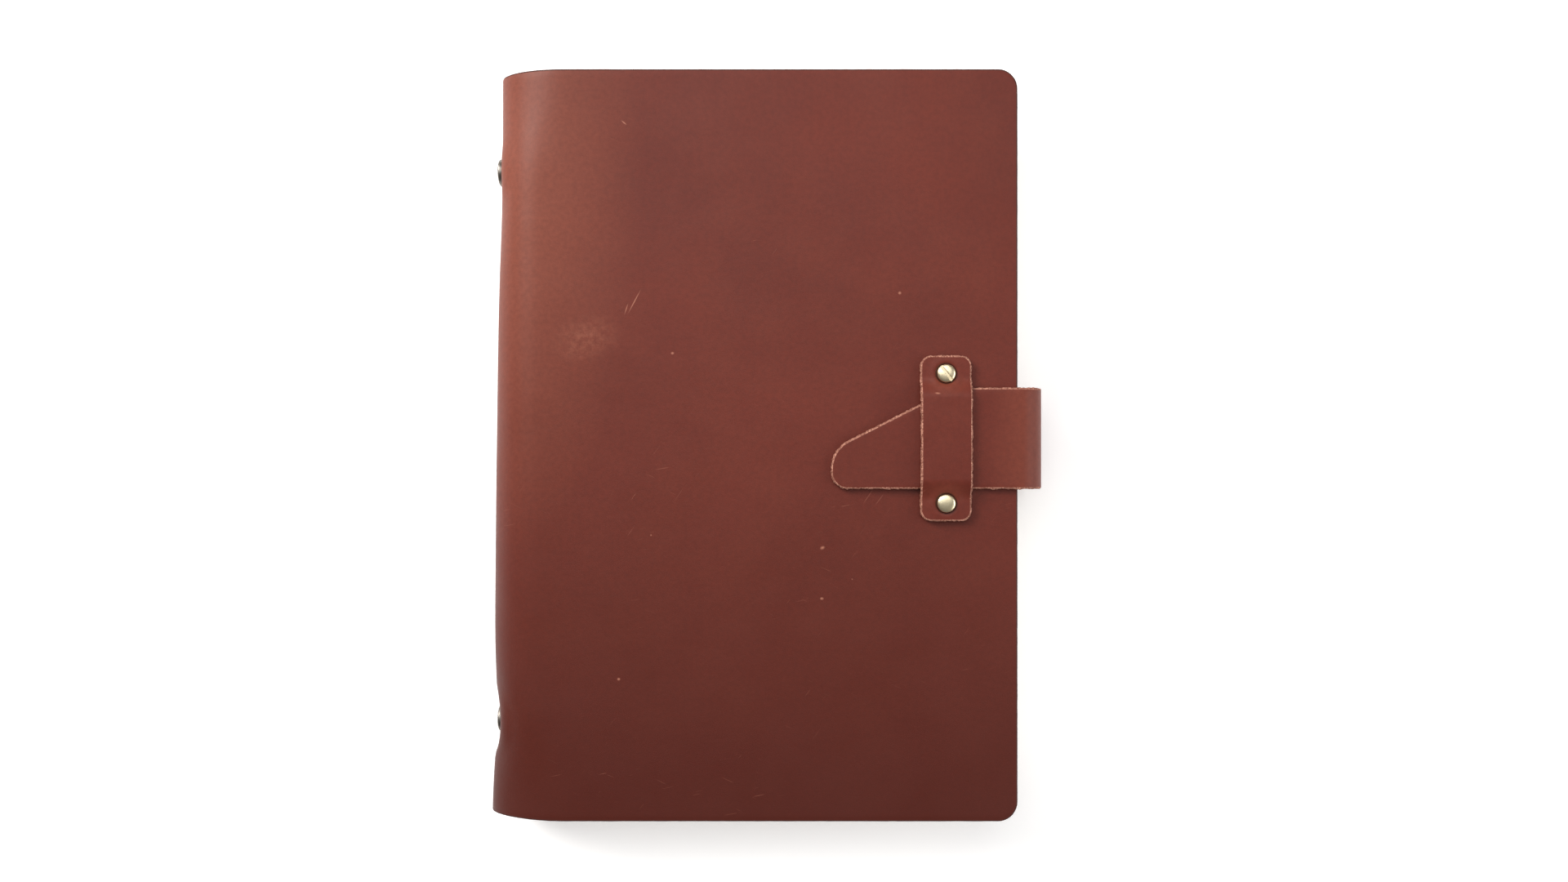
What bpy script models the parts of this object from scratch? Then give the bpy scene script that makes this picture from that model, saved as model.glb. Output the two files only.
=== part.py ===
"""Leather ring-binder notebook cover with a strap closure, closed and lying on its back cover.

One sheet of leather makes the back cover, the spine and the front cover, and the strap is cut in one
piece with the back cover. The strap's tongue slides under a leather keeper on the front cover. A steel
ring mechanism is screwed to the inside of the spine and holds two halves of a stack of punched paper.

X runs from the spine to the fore edge, Y up the page and Z from the back cover to the front cover.
Every length is in metres. Shapes are drawn in book coordinates, whose X starts at the spine's outer
face, and the empty notebook_origin moves the whole book so that the world's Z axis is in its middle.
"""

import math

import bmesh
import bpy
from mathutils import Matrix, Vector

# Leather cover
COVER_HEIGHT = 0.2300
COVER_WIDTH = 0.1600
COVER_THICKNESS = 0.0270
LEATHER = 0.0020
CORNER_RADIUS = 0.0060
SPINE_RADIUS = 0.0090
OPEN_RISE = 0.0024  # how far the opened spine lies above the table, so that its screw heads clear it

# Strap, cut in one piece with the back cover
STRAP_WIDTH = 0.0308
STRAP_Y = 0.0021
STRAP_BEND_RADIUS = 0.0078
TONGUE_LENGTH = 0.0571  # from the fore edge to the tip
TONGUE_STRAIGHT = 0.0200  # from the fore edge to where the upper side starts to slant
TONGUE_SLANT = math.radians(26.8)
TONGUE_UPPER_RADIUS = 0.0096
TONGUE_LOWER_RADIUS = 0.0050

# Keeper, the leather bridge that the tongue slides under
KEEPER_WIDTH = 0.0156
KEEPER_CORNER_RADIUS = 0.0033
KEEPER_FROM_FORE_EDGE = 0.0222
KEEPER_SCREW_FROM_STRAP = 0.0043  # from the strap's edge to the screw's axis
KEEPER_END = 0.0055  # from the screw's axis to the keeper's end

# Two-part screws: a post with a hollow barrel, and a slotted screw that goes into it
KEEPER_HEAD_RADIUS = 0.0028
KEEPER_BARREL_RADIUS = 0.0020
KEEPER_SHANK_RADIUS = 0.0011
SPINE_HEAD_RADIUS = 0.0042
SPINE_BARREL_RADIUS = 0.0023
SPINE_SHANK_RADIUS = 0.0014
SPINE_SCREW_Y = 0.0860
HEAD_HEIGHT = 0.0011
FLANGE_HEIGHT = 0.0009
SLOT_WIDTH = 0.0009
SLOT_DEPTH = 0.0005
SLOT_ANGLE = math.radians(-53)

# Ring mechanism
RING_BELOW_BLADES = 0.0012  # how far a whole circle of the wire would reach below the blades' tops
RING_WIRE_RADIUS = 0.0013
RING_OVERRUN = 12  # degrees of wire past the foot, which the foot's flat cut takes off
RING_PLACES = (-0.073, -0.054, -0.035, 0.035, 0.054, 0.073)
HOUSING_LENGTH = 0.1900
HOUSING_WIDTH = 0.0128
HOUSING_WALL = 0.0006
HOUSING_LIFT = 0.0004  # from the spine's inner face to the housing's rim
HOUSING_SIDE = 0.0022  # height of the upright side walls
HOUSING_ARCH = 0.0014  # rise of the arched top above the side walls
BLADE_THICKNESS = 0.0008
BLADE_LIFT = 0.0009  # from the spine's inner face to the blades
BLADE_LENGTH = 0.1840
LEVER_WIDTH = 0.0060
LEVER_LENGTH = 0.0097
LEVER_ANGLE = math.radians(62.9)
LEVER_THICKNESS = 0.0009
LEVER_BARREL_RADIUS = 0.0013
LEVER_PIN_RADIUS = 0.0005
LEVER_PIN_LIFT = 0.0017  # from the spine's inner face to the pin's axis

# Paper
PAPER_WIDTH = 0.1420
PAPER_HEIGHT = 0.2100
PAPER_FROM_CENTRE = 0.0040  # from the ring centre to the sheets' bound edge
PAPER_HOLE_RADIUS = 0.0030
PAPER_AT_RINGS = 0.0053  # thickness of each half of the stack where the rings go through it
PAPER_BOUND_EDGE = ((0, 0.66), (0.13, 0.85))  # its worn corner, in shares of that thickness
PAPER_EASE = 0.0260  # from the ring centre to where the stack has its full thickness

# Clearances
GAP = 0.0003  # between pieces that touch
PAPER_GAP = 0.0004  # between the paper and the back cover
STRAP_PLAY = 0.0003  # between the tongue's edge and the keeper's bend
BARREL_PLAY = 0.0003  # between a barrel and the hole it goes through
PIVOT_PLAY = 0.0003  # between a lever and its pin
NOTCH_PLAY = 0.0006  # between a ring and its notch in the housing

# Shares of half the housing's width between which the notches for the rings are cut
NOTCH_FROM = 0.3
NOTCH_TO = 1.3

# Worked out from the sizes above, in book coordinates
MID = COVER_THICKNESS / 2
STRAP_TOP = COVER_THICKNESS + GAP + LEATHER
STRAP_ROOT = COVER_WIDTH + GAP
FULL_WIDTH = STRAP_ROOT + STRAP_BEND_RADIUS
SPINE_HEAD_OUT = GAP + HEAD_HEIGHT
BOOK_CENTRE_X = (FULL_WIDTH - SPINE_HEAD_OUT) / 2

# The leather folds round a quarter circle. Each fold turns about the point that lets the leather's
# middle line keep its length from the closed shape to the flat one.
FOLD_LENGTH = math.pi / 2 * (SPINE_RADIUS - LEATHER / 2)
FOLD_X = (2 * SPINE_RADIUS - FOLD_LENGTH - OPEN_RISE) / 2
FOLD_Z = FOLD_X + OPEN_RISE
STRAP_FOLD_LENGTH = math.pi / 2 * (STRAP_BEND_RADIUS - LEATHER / 2)
STRAP_FOLD_X = STRAP_ROOT + STRAP_FOLD_LENGTH / 2
STRAP_FOLD_Z = STRAP_BEND_RADIUS - STRAP_FOLD_LENGTH / 2

RING_X = FOLD_X + MID - FOLD_Z
HOUSING_RIM = LEATHER + HOUSING_LIFT
HOUSING_TOP = HOUSING_RIM + HOUSING_SIDE + HOUSING_ARCH
BLADE_BOTTOM = LEATHER + BLADE_LIFT
BLADE_TOP = BLADE_BOTTOM + BLADE_THICKNESS
BLADE_EDGE = HOUSING_WIDTH / 2 - HOUSING_WALL - GAP
BLADE_PIVOT_X = (BLADE_BOTTOM + BLADE_TOP) / 2
RING_RADIUS = RING_X - BLADE_TOP + RING_BELOW_BLADES  # to the middle of the wire
LEVER_PIN_X = LEATHER + LEVER_PIN_LIFT
LEVER_PIN_Y = BLADE_LENGTH / 2 + GAP + LEVER_BARREL_RADIUS

KEEPER_X = COVER_WIDTH - KEEPER_FROM_FORE_EDGE
KEEPER_SCREW_SPACING = STRAP_WIDTH + 2 * KEEPER_SCREW_FROM_STRAP
KEEPER_LENGTH = KEEPER_SCREW_SPACING + 2 * KEEPER_END
KEEPER_SCREW_YS = (STRAP_Y + KEEPER_SCREW_SPACING / 2, STRAP_Y - KEEPER_SCREW_SPACING / 2)
KEEPER_HEAD_Z = STRAP_TOP + GAP
KEEPER_INNER_Z = COVER_THICKNESS - LEATHER - GAP
KEEPER_HOLE_RADIUS = KEEPER_BARREL_RADIUS + BARREL_PLAY
SPINE_HOLE_RADIUS = SPINE_BARREL_RADIUS + BARREL_PLAY

# Segments of the round shapes
TURNED_STEPS = 20
QUARTER_STEPS = 8
RING_STEPS = 12
ARCH_STEPS = 12
PIN_HOLE_STEPS = 12
TORUS_STEPS = 40
TORUS_SIDE_STEPS = 10

# Orientations of flat outlines, as (where the outline's U goes, where V goes, where it is extruded)
X_AXIS, Y_AXIS, Z_AXIS = Vector((1, 0, 0)), Vector((0, 1, 0)), Vector((0, 0, 1))
LYING = (X_AXIS, Y_AXIS, Z_AXIS)
SIDE_VIEW = (X_AXIS, Z_AXIS, -Y_AXIS)
END_VIEW = (Y_AXIS, Z_AXIS, X_AXIS)
HOUSING_VIEW = (Z_AXIS, X_AXIS, Y_AXIS)

MATERIALS = {
    "leather": ((0.190, 0.046, 0.028, 1), 0.50, 0.0),
    "brass": ((0.78, 0.60, 0.30, 1), 0.28, 1.0),
    "nickel": ((0.66, 0.65, 0.62, 1), 0.25, 1.0),
    "paper": ((0.86, 0.81, 0.70, 1), 0.90, 0.0),
}


# Scene, collections and materials


def remove_all_objects():
    for obj in list(bpy.data.objects):
        bpy.data.objects.remove(obj, do_unlink=True)


def new_collection(name):
    collection = bpy.data.collections.new(name)
    bpy.context.scene.collection.children.link(collection)
    return collection


def new_material(name):
    colour, roughness, metallic = MATERIALS[name]
    material = bpy.data.materials.new(name)
    material.use_nodes = True
    shader = material.node_tree.nodes["Principled BSDF"]
    shader.inputs["Base Color"].default_value = colour
    shader.inputs["Roughness"].default_value = roughness
    shader.inputs["Metallic"].default_value = metallic
    material.diffuse_color = colour
    return material


def new_pivot(name, parent, x=0.0, y=0.0, z=0.0):
    """An empty at a point in book coordinates, on which the pieces of one moving body hang."""
    pivot = bpy.data.objects.new(name, None)
    pivot.empty_display_size = 0.01
    parts.objects.link(pivot)
    pivot.matrix_world = Matrix.Translation((x - BOOK_CENTRE_X, y, z))
    if parent:
        bpy.context.view_layer.update()
        pivot.parent = parent
        pivot.matrix_parent_inverse = parent.matrix_world.inverted()
    bpy.context.view_layer.update()
    return pivot


def finish(obj, material, pivot, place=(0, 0, 0), turn=None):
    """Puts a shape at its place in book coordinates, turned if asked, and hangs it on its body."""
    x, y, z = place
    world = Matrix.Translation((x - BOOK_CENTRE_X, y, z))
    if turn:
        world = world @ turn
    if obj.name not in parts.objects:
        parts.objects.link(obj)
    obj.data.materials.clear()
    obj.data.materials.append(materials[material])
    obj.parent = pivot
    obj.matrix_parent_inverse = pivot.matrix_world.inverted()
    obj.matrix_world = world
    return obj


# Shapes


def axes_matrix(axes):
    return Matrix(axes).transposed().to_4x4()


def arc(centre, radius, start, end, steps=QUARTER_STEPS):
    """Points of an arc, in degrees from the first axis towards the second."""
    angles = (math.radians(start + (end - start) * i / steps) for i in range(steps + 1))
    return [(centre[0] + radius * math.cos(a), centre[1] + radius * math.sin(a)) for a in angles]


def circle(centre, radius, steps=TURNED_STEPS):
    return arc(centre, radius, 0, 360, steps)[:-1]


def rounded(corners, steps=QUARTER_STEPS):
    """An outline from its corners, each (u, v, fillet radius), in anticlockwise order."""
    outline = []
    for i, (u, v, radius) in enumerate(corners):
        corner = Vector((u, v))
        before = (Vector(corners[i - 1][:2]) - corner).normalized()
        after = (Vector(corners[(i + 1) % len(corners)][:2]) - corner).normalized()
        if radius == 0:
            outline.append((u, v))
            continue
        half = before.angle(after) / 2
        centre = corner + (before + after).normalized() * (radius / math.sin(half))
        start = corner + before * (radius / math.tan(half)) - centre
        turn = math.pi - 2 * half
        for step in range(steps + 1):
            spoke = Matrix.Rotation(turn * step / steps, 2) @ start
            outline.append(tuple(centre + spoke))
    return outline


def quarter_band(centre, radius, start):
    """The section of a leather quarter bend with this outer radius, starting at an angle in degrees."""
    outside = arc(centre, radius, start, start + 90)
    inside = arc(centre, radius - LEATHER, start, start + 90)
    return outside + inside[::-1]


def flat_piece(name, loops, thickness, axes=LYING, middle=0.0):
    """An extruded outline: the first loop is its edge and the others are holes through it."""
    curve = bpy.data.curves.new(name, "CURVE")
    curve.dimensions = "2D"
    curve.fill_mode = "BOTH"
    curve.extrude = thickness / 2
    for loop in loops:
        spline = curve.splines.new("POLY")
        spline.points.add(len(loop) - 1)
        for point, (u, v) in zip(spline.points, loop):
            point.co = (u, v, 0, 1)
        spline.use_cyclic_u = True
    obj = bpy.data.objects.new(name, curve)
    obj.matrix_world = Matrix.Translation(axes[2] * middle) @ axes_matrix(axes)
    return as_mesh(obj)


def as_mesh(obj):
    """The same shape as one welded mesh, with its orientation in the mesh, which a Boolean can cut."""
    name = obj.name
    parts.objects.link(obj)
    bpy.context.view_layer.update()
    evaluated = obj.evaluated_get(bpy.context.evaluated_depsgraph_get())
    mesh = bpy.data.meshes.new_from_object(evaluated)
    mesh.transform(obj.matrix_world)
    bpy.data.objects.remove(obj, do_unlink=True)
    shape = bmesh.new()
    shape.from_mesh(mesh)
    bmesh.ops.remove_doubles(shape, verts=shape.verts, dist=1e-6)
    shape.to_mesh(mesh)
    shape.free()
    return bpy.data.objects.new(name, mesh)


def turned_piece(name, profile):
    """A round piece about Z, from a profile that runs down its outer side from the axis to the axis."""
    mesh = bpy.data.meshes.new(name)
    points = [(radius, 0, height) for radius, height in profile]
    mesh.from_pydata(points, [(i, i + 1) for i in range(len(points) - 1)], [])
    obj = bpy.data.objects.new(name, mesh)
    screw = obj.modifiers.new("turn", "SCREW")
    screw.steps = screw.render_steps = TURNED_STEPS
    screw.use_merge_vertices = True
    screw.merge_threshold = 1e-5
    screw.use_smooth_shade = False
    return obj


def new_cutter(name, shape):
    mesh = bpy.data.meshes.new(name)
    shape.to_mesh(mesh)
    shape.free()
    cutter = bpy.data.objects.new(name, mesh)
    cutter.hide_render = True
    cutter.display_type = "WIRE"
    cutters.objects.link(cutter)
    return cutter


def box_cutter(name, boxes):
    """One cutter made of separate boxes, each (lowest corner, highest corner)."""
    shape = bmesh.new()
    for low, high in boxes:
        low, high = Vector(low), Vector(high)
        place = Matrix.Translation((low + high) / 2) @ Matrix.Diagonal((*(high - low), 1))
        bmesh.ops.create_cube(shape, size=1, matrix=place)
    return new_cutter(name, shape)


def drill_cutter(name, places, radius, length, axis):
    """One cutter made of separate cylinders along an axis, through the places."""
    turn = Z_AXIS.rotation_difference(axis).to_matrix().to_4x4()
    shape = bmesh.new()
    for place in places:
        bmesh.ops.create_cone(
            shape,
            cap_ends=True,
            segments=TURNED_STEPS,
            radius1=radius,
            radius2=radius,
            depth=length,
            matrix=Matrix.Translation(place) @ turn,
        )
    return new_cutter(name, shape)


def cut(obj, cutter, operation="DIFFERENCE"):
    """A Boolean with a cutter that is drawn in the piece's own coordinates."""
    boolean = obj.modifiers.new(cutter.name, "BOOLEAN")
    boolean.operation = operation
    boolean.object = cutter
    cutter.matrix_world = obj.matrix_world


# Leather pieces


def build_cover(back_cover, spine, front_cover):
    half = COVER_HEIGHT / 2
    panel = rounded(
        [
            (SPINE_RADIUS + GAP, -half, 0),
            (COVER_WIDTH, -half, CORNER_RADIUS),
            (COVER_WIDTH, half, CORNER_RADIUS),
            (SPINE_RADIUS + GAP, half, 0),
        ]
    )
    back = flat_piece("cover_back", [panel], LEATHER, middle=LEATHER / 2)
    finish(back, "leather", back_cover)

    screw_holes = [circle((KEEPER_X, y), KEEPER_HOLE_RADIUS) for y in KEEPER_SCREW_YS]
    front = flat_piece(
        "cover_front", [panel, *screw_holes], LEATHER, middle=COVER_THICKNESS - LEATHER / 2
    )
    finish(front, "leather", front_cover)

    low, high = SPINE_RADIUS + GAP, COVER_THICKNESS - SPINE_RADIUS - GAP
    strip = [(-half, low), (half, low), (half, high), (-half, high)]
    spine_holes = [circle((y, MID), SPINE_HOLE_RADIUS) for y in (-SPINE_SCREW_Y, SPINE_SCREW_Y)]
    back_strip = flat_piece("cover_spine", [strip, *spine_holes], LEATHER, END_VIEW, LEATHER / 2)
    finish(back_strip, "leather", spine)

    back_fold = quarter_band((SPINE_RADIUS, SPINE_RADIUS), SPINE_RADIUS, 180)
    front_fold = quarter_band((SPINE_RADIUS, COVER_THICKNESS - SPINE_RADIUS), SPINE_RADIUS, 90)
    for name, band in (("cover_back_fold", back_fold), ("cover_front_fold", front_fold)):
        finish(flat_piece(name, [band], COVER_HEIGHT, SIDE_VIEW), "leather", spine)


def build_strap(strap_riser, strap_tongue):
    lower = quarter_band((STRAP_ROOT, STRAP_BEND_RADIUS), STRAP_BEND_RADIUS, 270)
    upper = quarter_band((STRAP_ROOT, STRAP_TOP - STRAP_BEND_RADIUS), STRAP_BEND_RADIUS, 0)
    left, right = FULL_WIDTH - LEATHER, FULL_WIDTH
    low, high = STRAP_BEND_RADIUS + GAP, STRAP_TOP - STRAP_BEND_RADIUS - GAP
    riser = [(left, low), (right, low), (right, high), (left, high)]
    sections = (
        ("strap_lower_bend", lower, strap_riser),
        ("strap_riser", riser, strap_riser),
        ("strap_upper_bend", upper, strap_tongue),
    )
    for name, section, pivot in sections:
        band = flat_piece(name, [section], STRAP_WIDTH, SIDE_VIEW, -STRAP_Y)
        finish(band, "leather", pivot)

    top, bottom = STRAP_Y + STRAP_WIDTH / 2, STRAP_Y - STRAP_WIDTH / 2
    tip = COVER_WIDTH - TONGUE_LENGTH
    slant_start = COVER_WIDTH - TONGUE_STRAIGHT
    slant_end = top - (slant_start - tip) * math.tan(TONGUE_SLANT)
    outline = rounded(
        [
            (COVER_WIDTH, bottom, 0),
            (COVER_WIDTH, top, 0),
            (slant_start, top, 0),
            (tip, slant_end, TONGUE_UPPER_RADIUS),
            (tip, bottom, TONGUE_LOWER_RADIUS),
        ]
    )
    tongue = flat_piece("strap_tongue", [outline], LEATHER, middle=STRAP_TOP - LEATHER / 2)
    finish(tongue, "leather", strap_tongue)


def keeper_line(level, bend_start, bend_end):
    """One face of the keeper seen from the fore edge: lifted over the tongue, and flat at both ends."""
    lift = LEATHER + GAP
    half = [(bend_start + (bend_end - bend_start) * i / QUARTER_STEPS) for i in range(QUARTER_STEPS + 1)]
    side = [(v, level + lift * (1 + math.cos(math.pi * i / QUARTER_STEPS)) / 2) for i, v in enumerate(half)]
    side.append((KEEPER_LENGTH / 2, level))
    return [(-v, z) for v, z in side[::-1]] + side


def build_keeper(front_cover):
    tongue_edge = STRAP_WIDTH / 2
    head_edge = KEEPER_SCREW_SPACING / 2 - KEEPER_HEAD_RADIUS
    under = keeper_line(COVER_THICKNESS + GAP, tongue_edge + STRAP_PLAY, head_edge + GAP)
    over = keeper_line(STRAP_TOP, tongue_edge - STRAP_PLAY, head_edge)
    keeper = flat_piece("keeper", [under + over[::-1]], KEEPER_WIDTH, END_VIEW)
    finish(keeper, "leather", front_cover, place=(KEEPER_X, STRAP_Y, 0))

    half_length, half_width = KEEPER_LENGTH / 2, KEEPER_WIDTH / 2
    radius = KEEPER_CORNER_RADIUS
    plan = rounded(
        [
            (-half_width, -half_length, radius),
            (half_width, -half_length, radius),
            (half_width, half_length, radius),
            (-half_width, half_length, radius),
        ]
    )
    prism = flat_piece("keeper_plan", [plan], 4 * LEATHER + 4 * GAP, middle=STRAP_TOP)
    shape = bmesh.new()
    shape.from_mesh(prism.data)
    bpy.data.objects.remove(prism)
    cut(keeper, new_cutter("keeper_plan_cutter", shape), "INTERSECT")
    holes = [(0, y - STRAP_Y, STRAP_TOP) for y in KEEPER_SCREW_YS]
    cut(keeper, drill_cutter("keeper_holes", holes, KEEPER_HOLE_RADIUS, 6 * LEATHER, Z_AXIS))


# Two-part screws


def head_profile(radius, height):
    """The top of a shallow domed head, from its middle to its lower rim."""
    shares = ((0, 1), (0.55, 0.94), (0.88, 0.72), (1, 0.4), (1, 0))
    return [(radius * across, height * up) for across, up in shares]


def post(name, head_radius, head_height, barrel_radius, bore_radius, grip):
    """A head with a hollow barrel below it, which ends just short of the other head."""
    profile = head_profile(head_radius, head_height) + [
        (barrel_radius, 0),
        (barrel_radius, GAP - grip),
        (bore_radius, GAP - grip),
        (bore_radius, -GAP),
        (0, -GAP),
    ]
    return turned_piece(name, profile)


def slotted_screw(name, head_radius, head_height, shank_radius, grip):
    """A slotted head with a plain shank below it, which ends inside the post."""
    profile = head_profile(head_radius, head_height) + [
        (shank_radius, 0),
        (shank_radius, 2 * GAP - grip),
        (0, 2 * GAP - grip),
    ]
    return turned_piece(name, profile)


def cut_slot(obj, head_radius, head_height):
    slot = box_cutter(
        obj.name + "_slot",
        [
            (
                (-2 * head_radius, -SLOT_WIDTH / 2, head_height - SLOT_DEPTH),
                (2 * head_radius, SLOT_WIDTH / 2, 2 * head_height),
            )
        ],
    )
    cut(obj, slot)


def build_keeper_screws(front_cover):
    grip = KEEPER_HEAD_Z - KEEPER_INNER_Z
    bore = KEEPER_SHANK_RADIUS + GAP
    slot_turn = Matrix.Rotation(SLOT_ANGLE, 4, "Z")
    upside_down = Matrix.Rotation(math.pi, 4, "X")
    top_y, bottom_y = KEEPER_SCREW_YS
    outside_top = slotted_screw(
        "keeper_screw_top", KEEPER_HEAD_RADIUS, HEAD_HEIGHT, KEEPER_SHANK_RADIUS, grip
    )
    inside_top = post(
        "keeper_post_top", KEEPER_HEAD_RADIUS, FLANGE_HEIGHT, KEEPER_BARREL_RADIUS, bore, grip
    )
    outside_bottom = post(
        "keeper_post_bottom", KEEPER_HEAD_RADIUS, HEAD_HEIGHT, KEEPER_BARREL_RADIUS, bore, grip
    )
    inside_bottom = slotted_screw(
        "keeper_screw_bottom", KEEPER_HEAD_RADIUS, FLANGE_HEIGHT, KEEPER_SHANK_RADIUS, grip
    )
    finish(outside_top, "brass", front_cover, (KEEPER_X, top_y, KEEPER_HEAD_Z), slot_turn)
    finish(inside_top, "brass", front_cover, (KEEPER_X, top_y, KEEPER_INNER_Z), upside_down)
    finish(outside_bottom, "brass", front_cover, (KEEPER_X, bottom_y, KEEPER_HEAD_Z))
    finish(inside_bottom, "brass", front_cover, (KEEPER_X, bottom_y, KEEPER_INNER_Z), upside_down)
    cut_slot(outside_top, KEEPER_HEAD_RADIUS, HEAD_HEIGHT)
    cut_slot(inside_bottom, KEEPER_HEAD_RADIUS, FLANGE_HEIGHT)


def build_spine_screws(spine):
    grip = HOUSING_TOP + 2 * GAP
    bore = SPINE_SHANK_RADIUS + GAP
    outwards = Matrix.Rotation(-math.pi / 2, 4, "Y")
    inwards = Matrix.Rotation(math.pi / 2, 4, "Y")
    for end, y in (("top", SPINE_SCREW_Y), ("bottom", -SPINE_SCREW_Y)):
        screw = slotted_screw(
            f"spine_screw_{end}", SPINE_HEAD_RADIUS, HEAD_HEIGHT, SPINE_SHANK_RADIUS, grip
        )
        finish(screw, "nickel", spine, (-GAP, y, MID), outwards)
        cut_slot(screw, SPINE_HEAD_RADIUS, HEAD_HEIGHT)
        sleeve = post(
            f"spine_post_{end}", SPINE_HEAD_RADIUS, FLANGE_HEIGHT, SPINE_BARREL_RADIUS, bore, grip
        )
        finish(sleeve, "nickel", spine, (HOUSING_TOP + GAP, y, MID), inwards)


# Ring mechanism


def build_housing(spine):
    """A bent steel channel, open towards the spine, with notches for the rings and the levers."""
    half = HOUSING_WIDTH / 2
    arch_radius = (half**2 + HOUSING_ARCH**2) / (2 * HOUSING_ARCH)
    half_angle = math.degrees(math.asin(half / arch_radius))
    arch_centre = (0, HOUSING_TOP - arch_radius)
    arch = arc(arch_centre, arch_radius, 90 + half_angle, 90 - half_angle, ARCH_STEPS)
    section = [(-half, HOUSING_RIM), *arch, (half, HOUSING_RIM)]
    curve = bpy.data.curves.new("ring_housing", "CURVE")
    curve.dimensions = "2D"
    curve.fill_mode = "NONE"
    curve.extrude = HOUSING_LENGTH / 2
    spline = curve.splines.new("POLY")
    spline.points.add(len(section) - 1)
    for point, (u, v) in zip(spline.points, section):
        point.co = (u, v, 0, 1)
    ribbon = bpy.data.objects.new("ring_housing", curve)
    ribbon.matrix_world = axes_matrix(HOUSING_VIEW)
    housing = as_mesh(ribbon)
    shell = housing.modifiers.new("sheet steel", "SOLIDIFY")
    shell.thickness = HOUSING_WALL
    shell.offset = -1
    shell.use_even_offset = True
    finish(housing, "nickel", spine, (0, 0, MID))

    notch = RING_WIRE_RADIUS + NOTCH_PLAY
    inner, outer = half * NOTCH_FROM, half * NOTCH_TO
    above_blades = BLADE_TOP - HOUSING_WALL
    boxes = []
    for y in RING_PLACES:
        for low_w, high_w in ((inner, outer), (-outer, -inner)):
            boxes.append(((above_blades, y - notch, low_w), (2 * HOUSING_TOP, y + notch, high_w)))
    lever_side = LEVER_WIDTH / 2 + GAP
    lever_start, housing_end = BLADE_LENGTH / 2 - GAP, HOUSING_LENGTH
    lever_bottom = BLADE_TOP
    for low_y, high_y in ((lever_start, housing_end), (-housing_end, -lever_start)):
        boxes.append(((lever_bottom, low_y, -lever_side), (2 * HOUSING_TOP, high_y, lever_side)))
    cut(housing, box_cutter("housing_notches", boxes))
    holes = [(HOUSING_TOP, y, 0) for y in (-SPINE_SCREW_Y, SPINE_SCREW_Y)]
    cut(housing, drill_cutter("housing_holes", holes, SPINE_HOLE_RADIUS, 2 * HOUSING_TOP, X_AXIS))


def build_ring_half(side, sign, pivot):
    """A sprung blade and its six half rings. The front half has sign 1 and the back half -1."""
    half_length = BLADE_LENGTH / 2
    inner = GAP / 2
    room = SPINE_HOLE_RADIUS
    notched = []
    for y in (-SPINE_SCREW_Y, SPINE_SCREW_Y):
        notched += [(y - room, inner), (y - room, room), (y + room, room), (y + room, inner)]
    edge = [(-half_length, inner), *notched, (half_length, inner)]
    edge += [(half_length, BLADE_EDGE), (-half_length, BLADE_EDGE)]
    outline = [(y, sign * w) for y, w in edge]
    blade = flat_piece(f"ring_blade_{side}", [outline], BLADE_THICKNESS, END_VIEW, BLADE_PIVOT_X)
    finish(blade, "nickel", pivot, (0, 0, MID))

    foot_x = BLADE_TOP + GAP - RING_X
    tip_angle = math.degrees(math.asin(GAP / 2 / RING_RADIUS))
    past_foot = math.degrees(math.acos(foot_x / RING_RADIUS)) + RING_OVERRUN
    route = arc((0, 0), RING_RADIUS, tip_angle, past_foot, RING_STEPS)
    foot_low = (foot_x - RING_RADIUS, -RING_RADIUS, -2 * RING_RADIUS)
    foot_high = (foot_x, RING_RADIUS, 2 * RING_RADIUS)
    for number, y in enumerate(RING_PLACES, 1):
        curve = bpy.data.curves.new(f"ring_{side}_{number}", "CURVE")
        curve.dimensions = "3D"
        curve.bevel_depth = RING_WIRE_RADIUS
        curve.bevel_resolution = 2
        curve.use_fill_caps = True
        spline = curve.splines.new("POLY")
        spline.points.add(len(route) - 1)
        for point, (u, v) in zip(spline.points, route):
            point.co = (u, 0, sign * v, 1)
        ring = as_mesh(bpy.data.objects.new(f"ring_{side}_{number}", curve))
        finish(ring, "nickel", pivot, (RING_X, y, MID))
        cut(ring, box_cutter(f"ring_foot_{side}_{number}", [(foot_low, foot_high)]))


def lever_outline(direction):
    """A round barrel at the pin and a thin thumb pad that rises out of the housing's end."""
    neck = math.degrees(math.asin(LEVER_THICKNESS / 2 / LEVER_BARREL_RADIUS))
    angle = math.degrees(LEVER_ANGLE)
    barrel = arc((0, 0), LEVER_BARREL_RADIUS, angle + neck, angle - neck + 360, TURNED_STEPS)
    reach = LEVER_LENGTH - LEVER_THICKNESS / 2
    tip = (reach * math.cos(LEVER_ANGLE), reach * math.sin(LEVER_ANGLE))
    pad_end = arc(tip, LEVER_THICKNESS / 2, angle - 90, angle + 90)
    return [(u, direction * v) for u, v in barrel + pad_end]


def build_levers(levers, spine):
    for end, direction in (("top", 1), ("bottom", -1)):
        pin_place = (LEVER_PIN_X, direction * LEVER_PIN_Y, MID)
        hole = circle((0, 0), LEVER_PIN_RADIUS + PIVOT_PLAY, PIN_HOLE_STEPS)
        lever = flat_piece(f"ring_lever_{end}", [lever_outline(direction), hole], LEVER_WIDTH)
        finish(lever, "nickel", levers[end], pin_place)
        pin_half = BLADE_EDGE - GAP
        radius = LEVER_PIN_RADIUS
        profile = [(0, pin_half), (radius, pin_half), (radius, -pin_half), (0, -pin_half)]
        finish(turned_piece(f"lever_pin_{end}", profile), "nickel", spine, pin_place)


# Paper


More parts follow.
